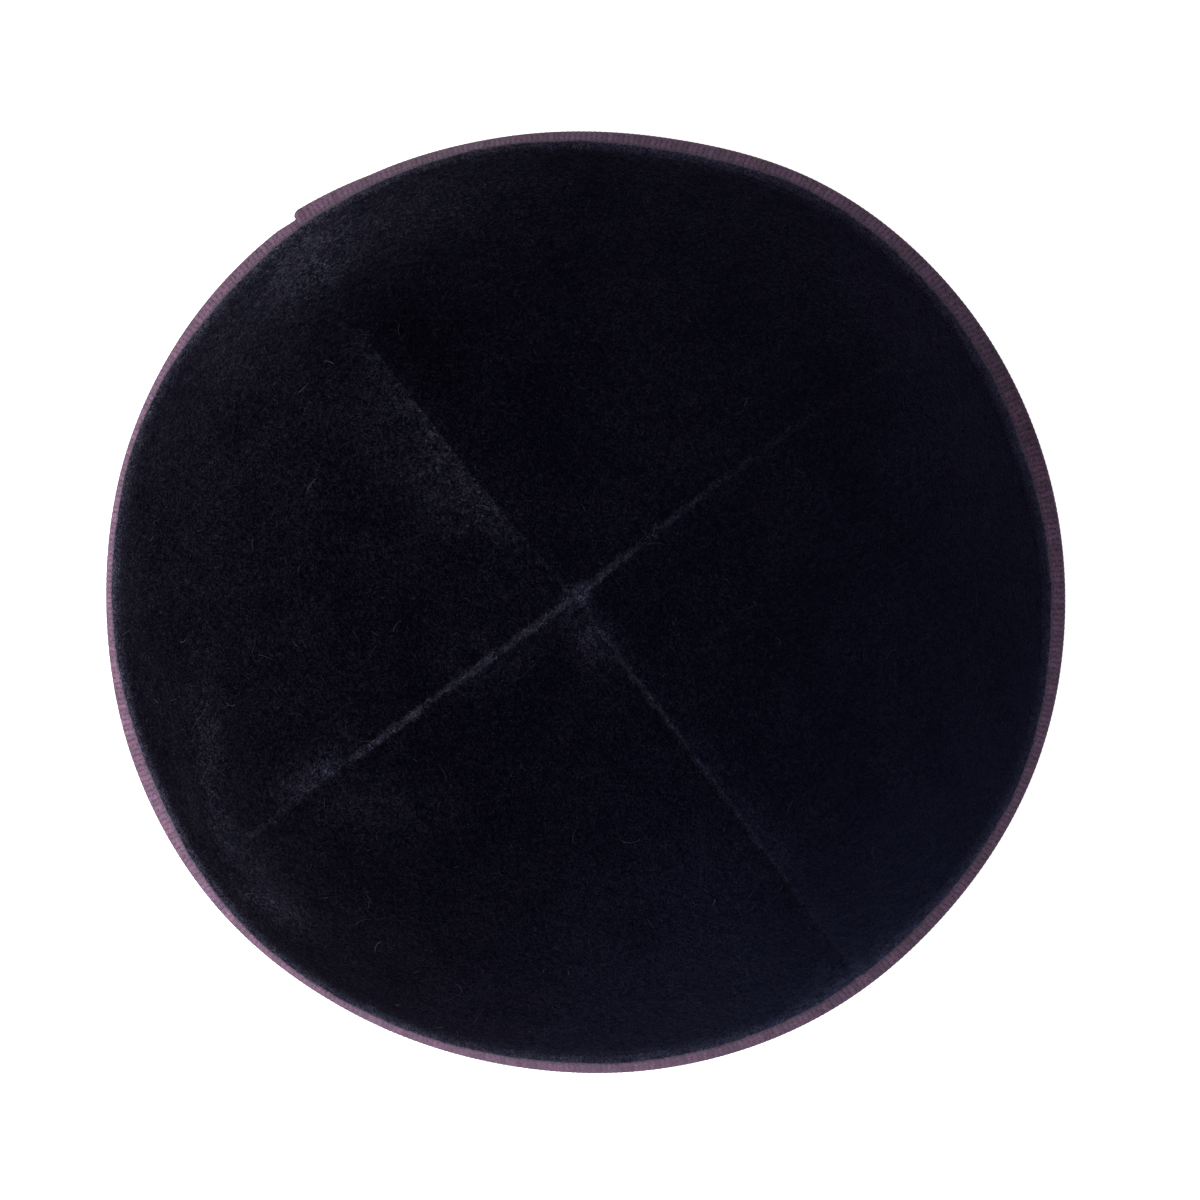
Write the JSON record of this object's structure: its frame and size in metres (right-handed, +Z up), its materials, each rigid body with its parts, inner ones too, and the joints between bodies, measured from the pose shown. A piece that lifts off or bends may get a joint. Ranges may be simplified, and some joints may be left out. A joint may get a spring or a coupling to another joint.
{
  "type": "kippah skullcap",
  "caption": "Domed velvet skullcap sewn from panels that meet at the crown, bound round the rim with a folded and lapped grosgrain ribbon.",
  "frame": {"origin": "the middle of the cap's box, on the surface that the rim rests on", "axes": "+Z up through the crown, +X to the right and +Y to the back as the picture shows the cap from above, with the widest way of the rim along X"},
  "size_m": [0.18, 0.1766, 0.0537],
  "materials": {
    "velvet": "short dense cut pile, very dark navy, almost black, with a soft sheen at grazing angles and along the parted pile of the seams",
    "ribbon": "dull plum grosgrain with fine cross ribs, about one to a millimetre, and a smooth woven edge"
  },
  "bodies": {
    "root": {"panel_right": "velvet", "panel_back": "velvet", "panel_left": "velvet", "panel_front": "velvet", "ribbon_binding": "ribbon"}
  },
  "joints": []
}
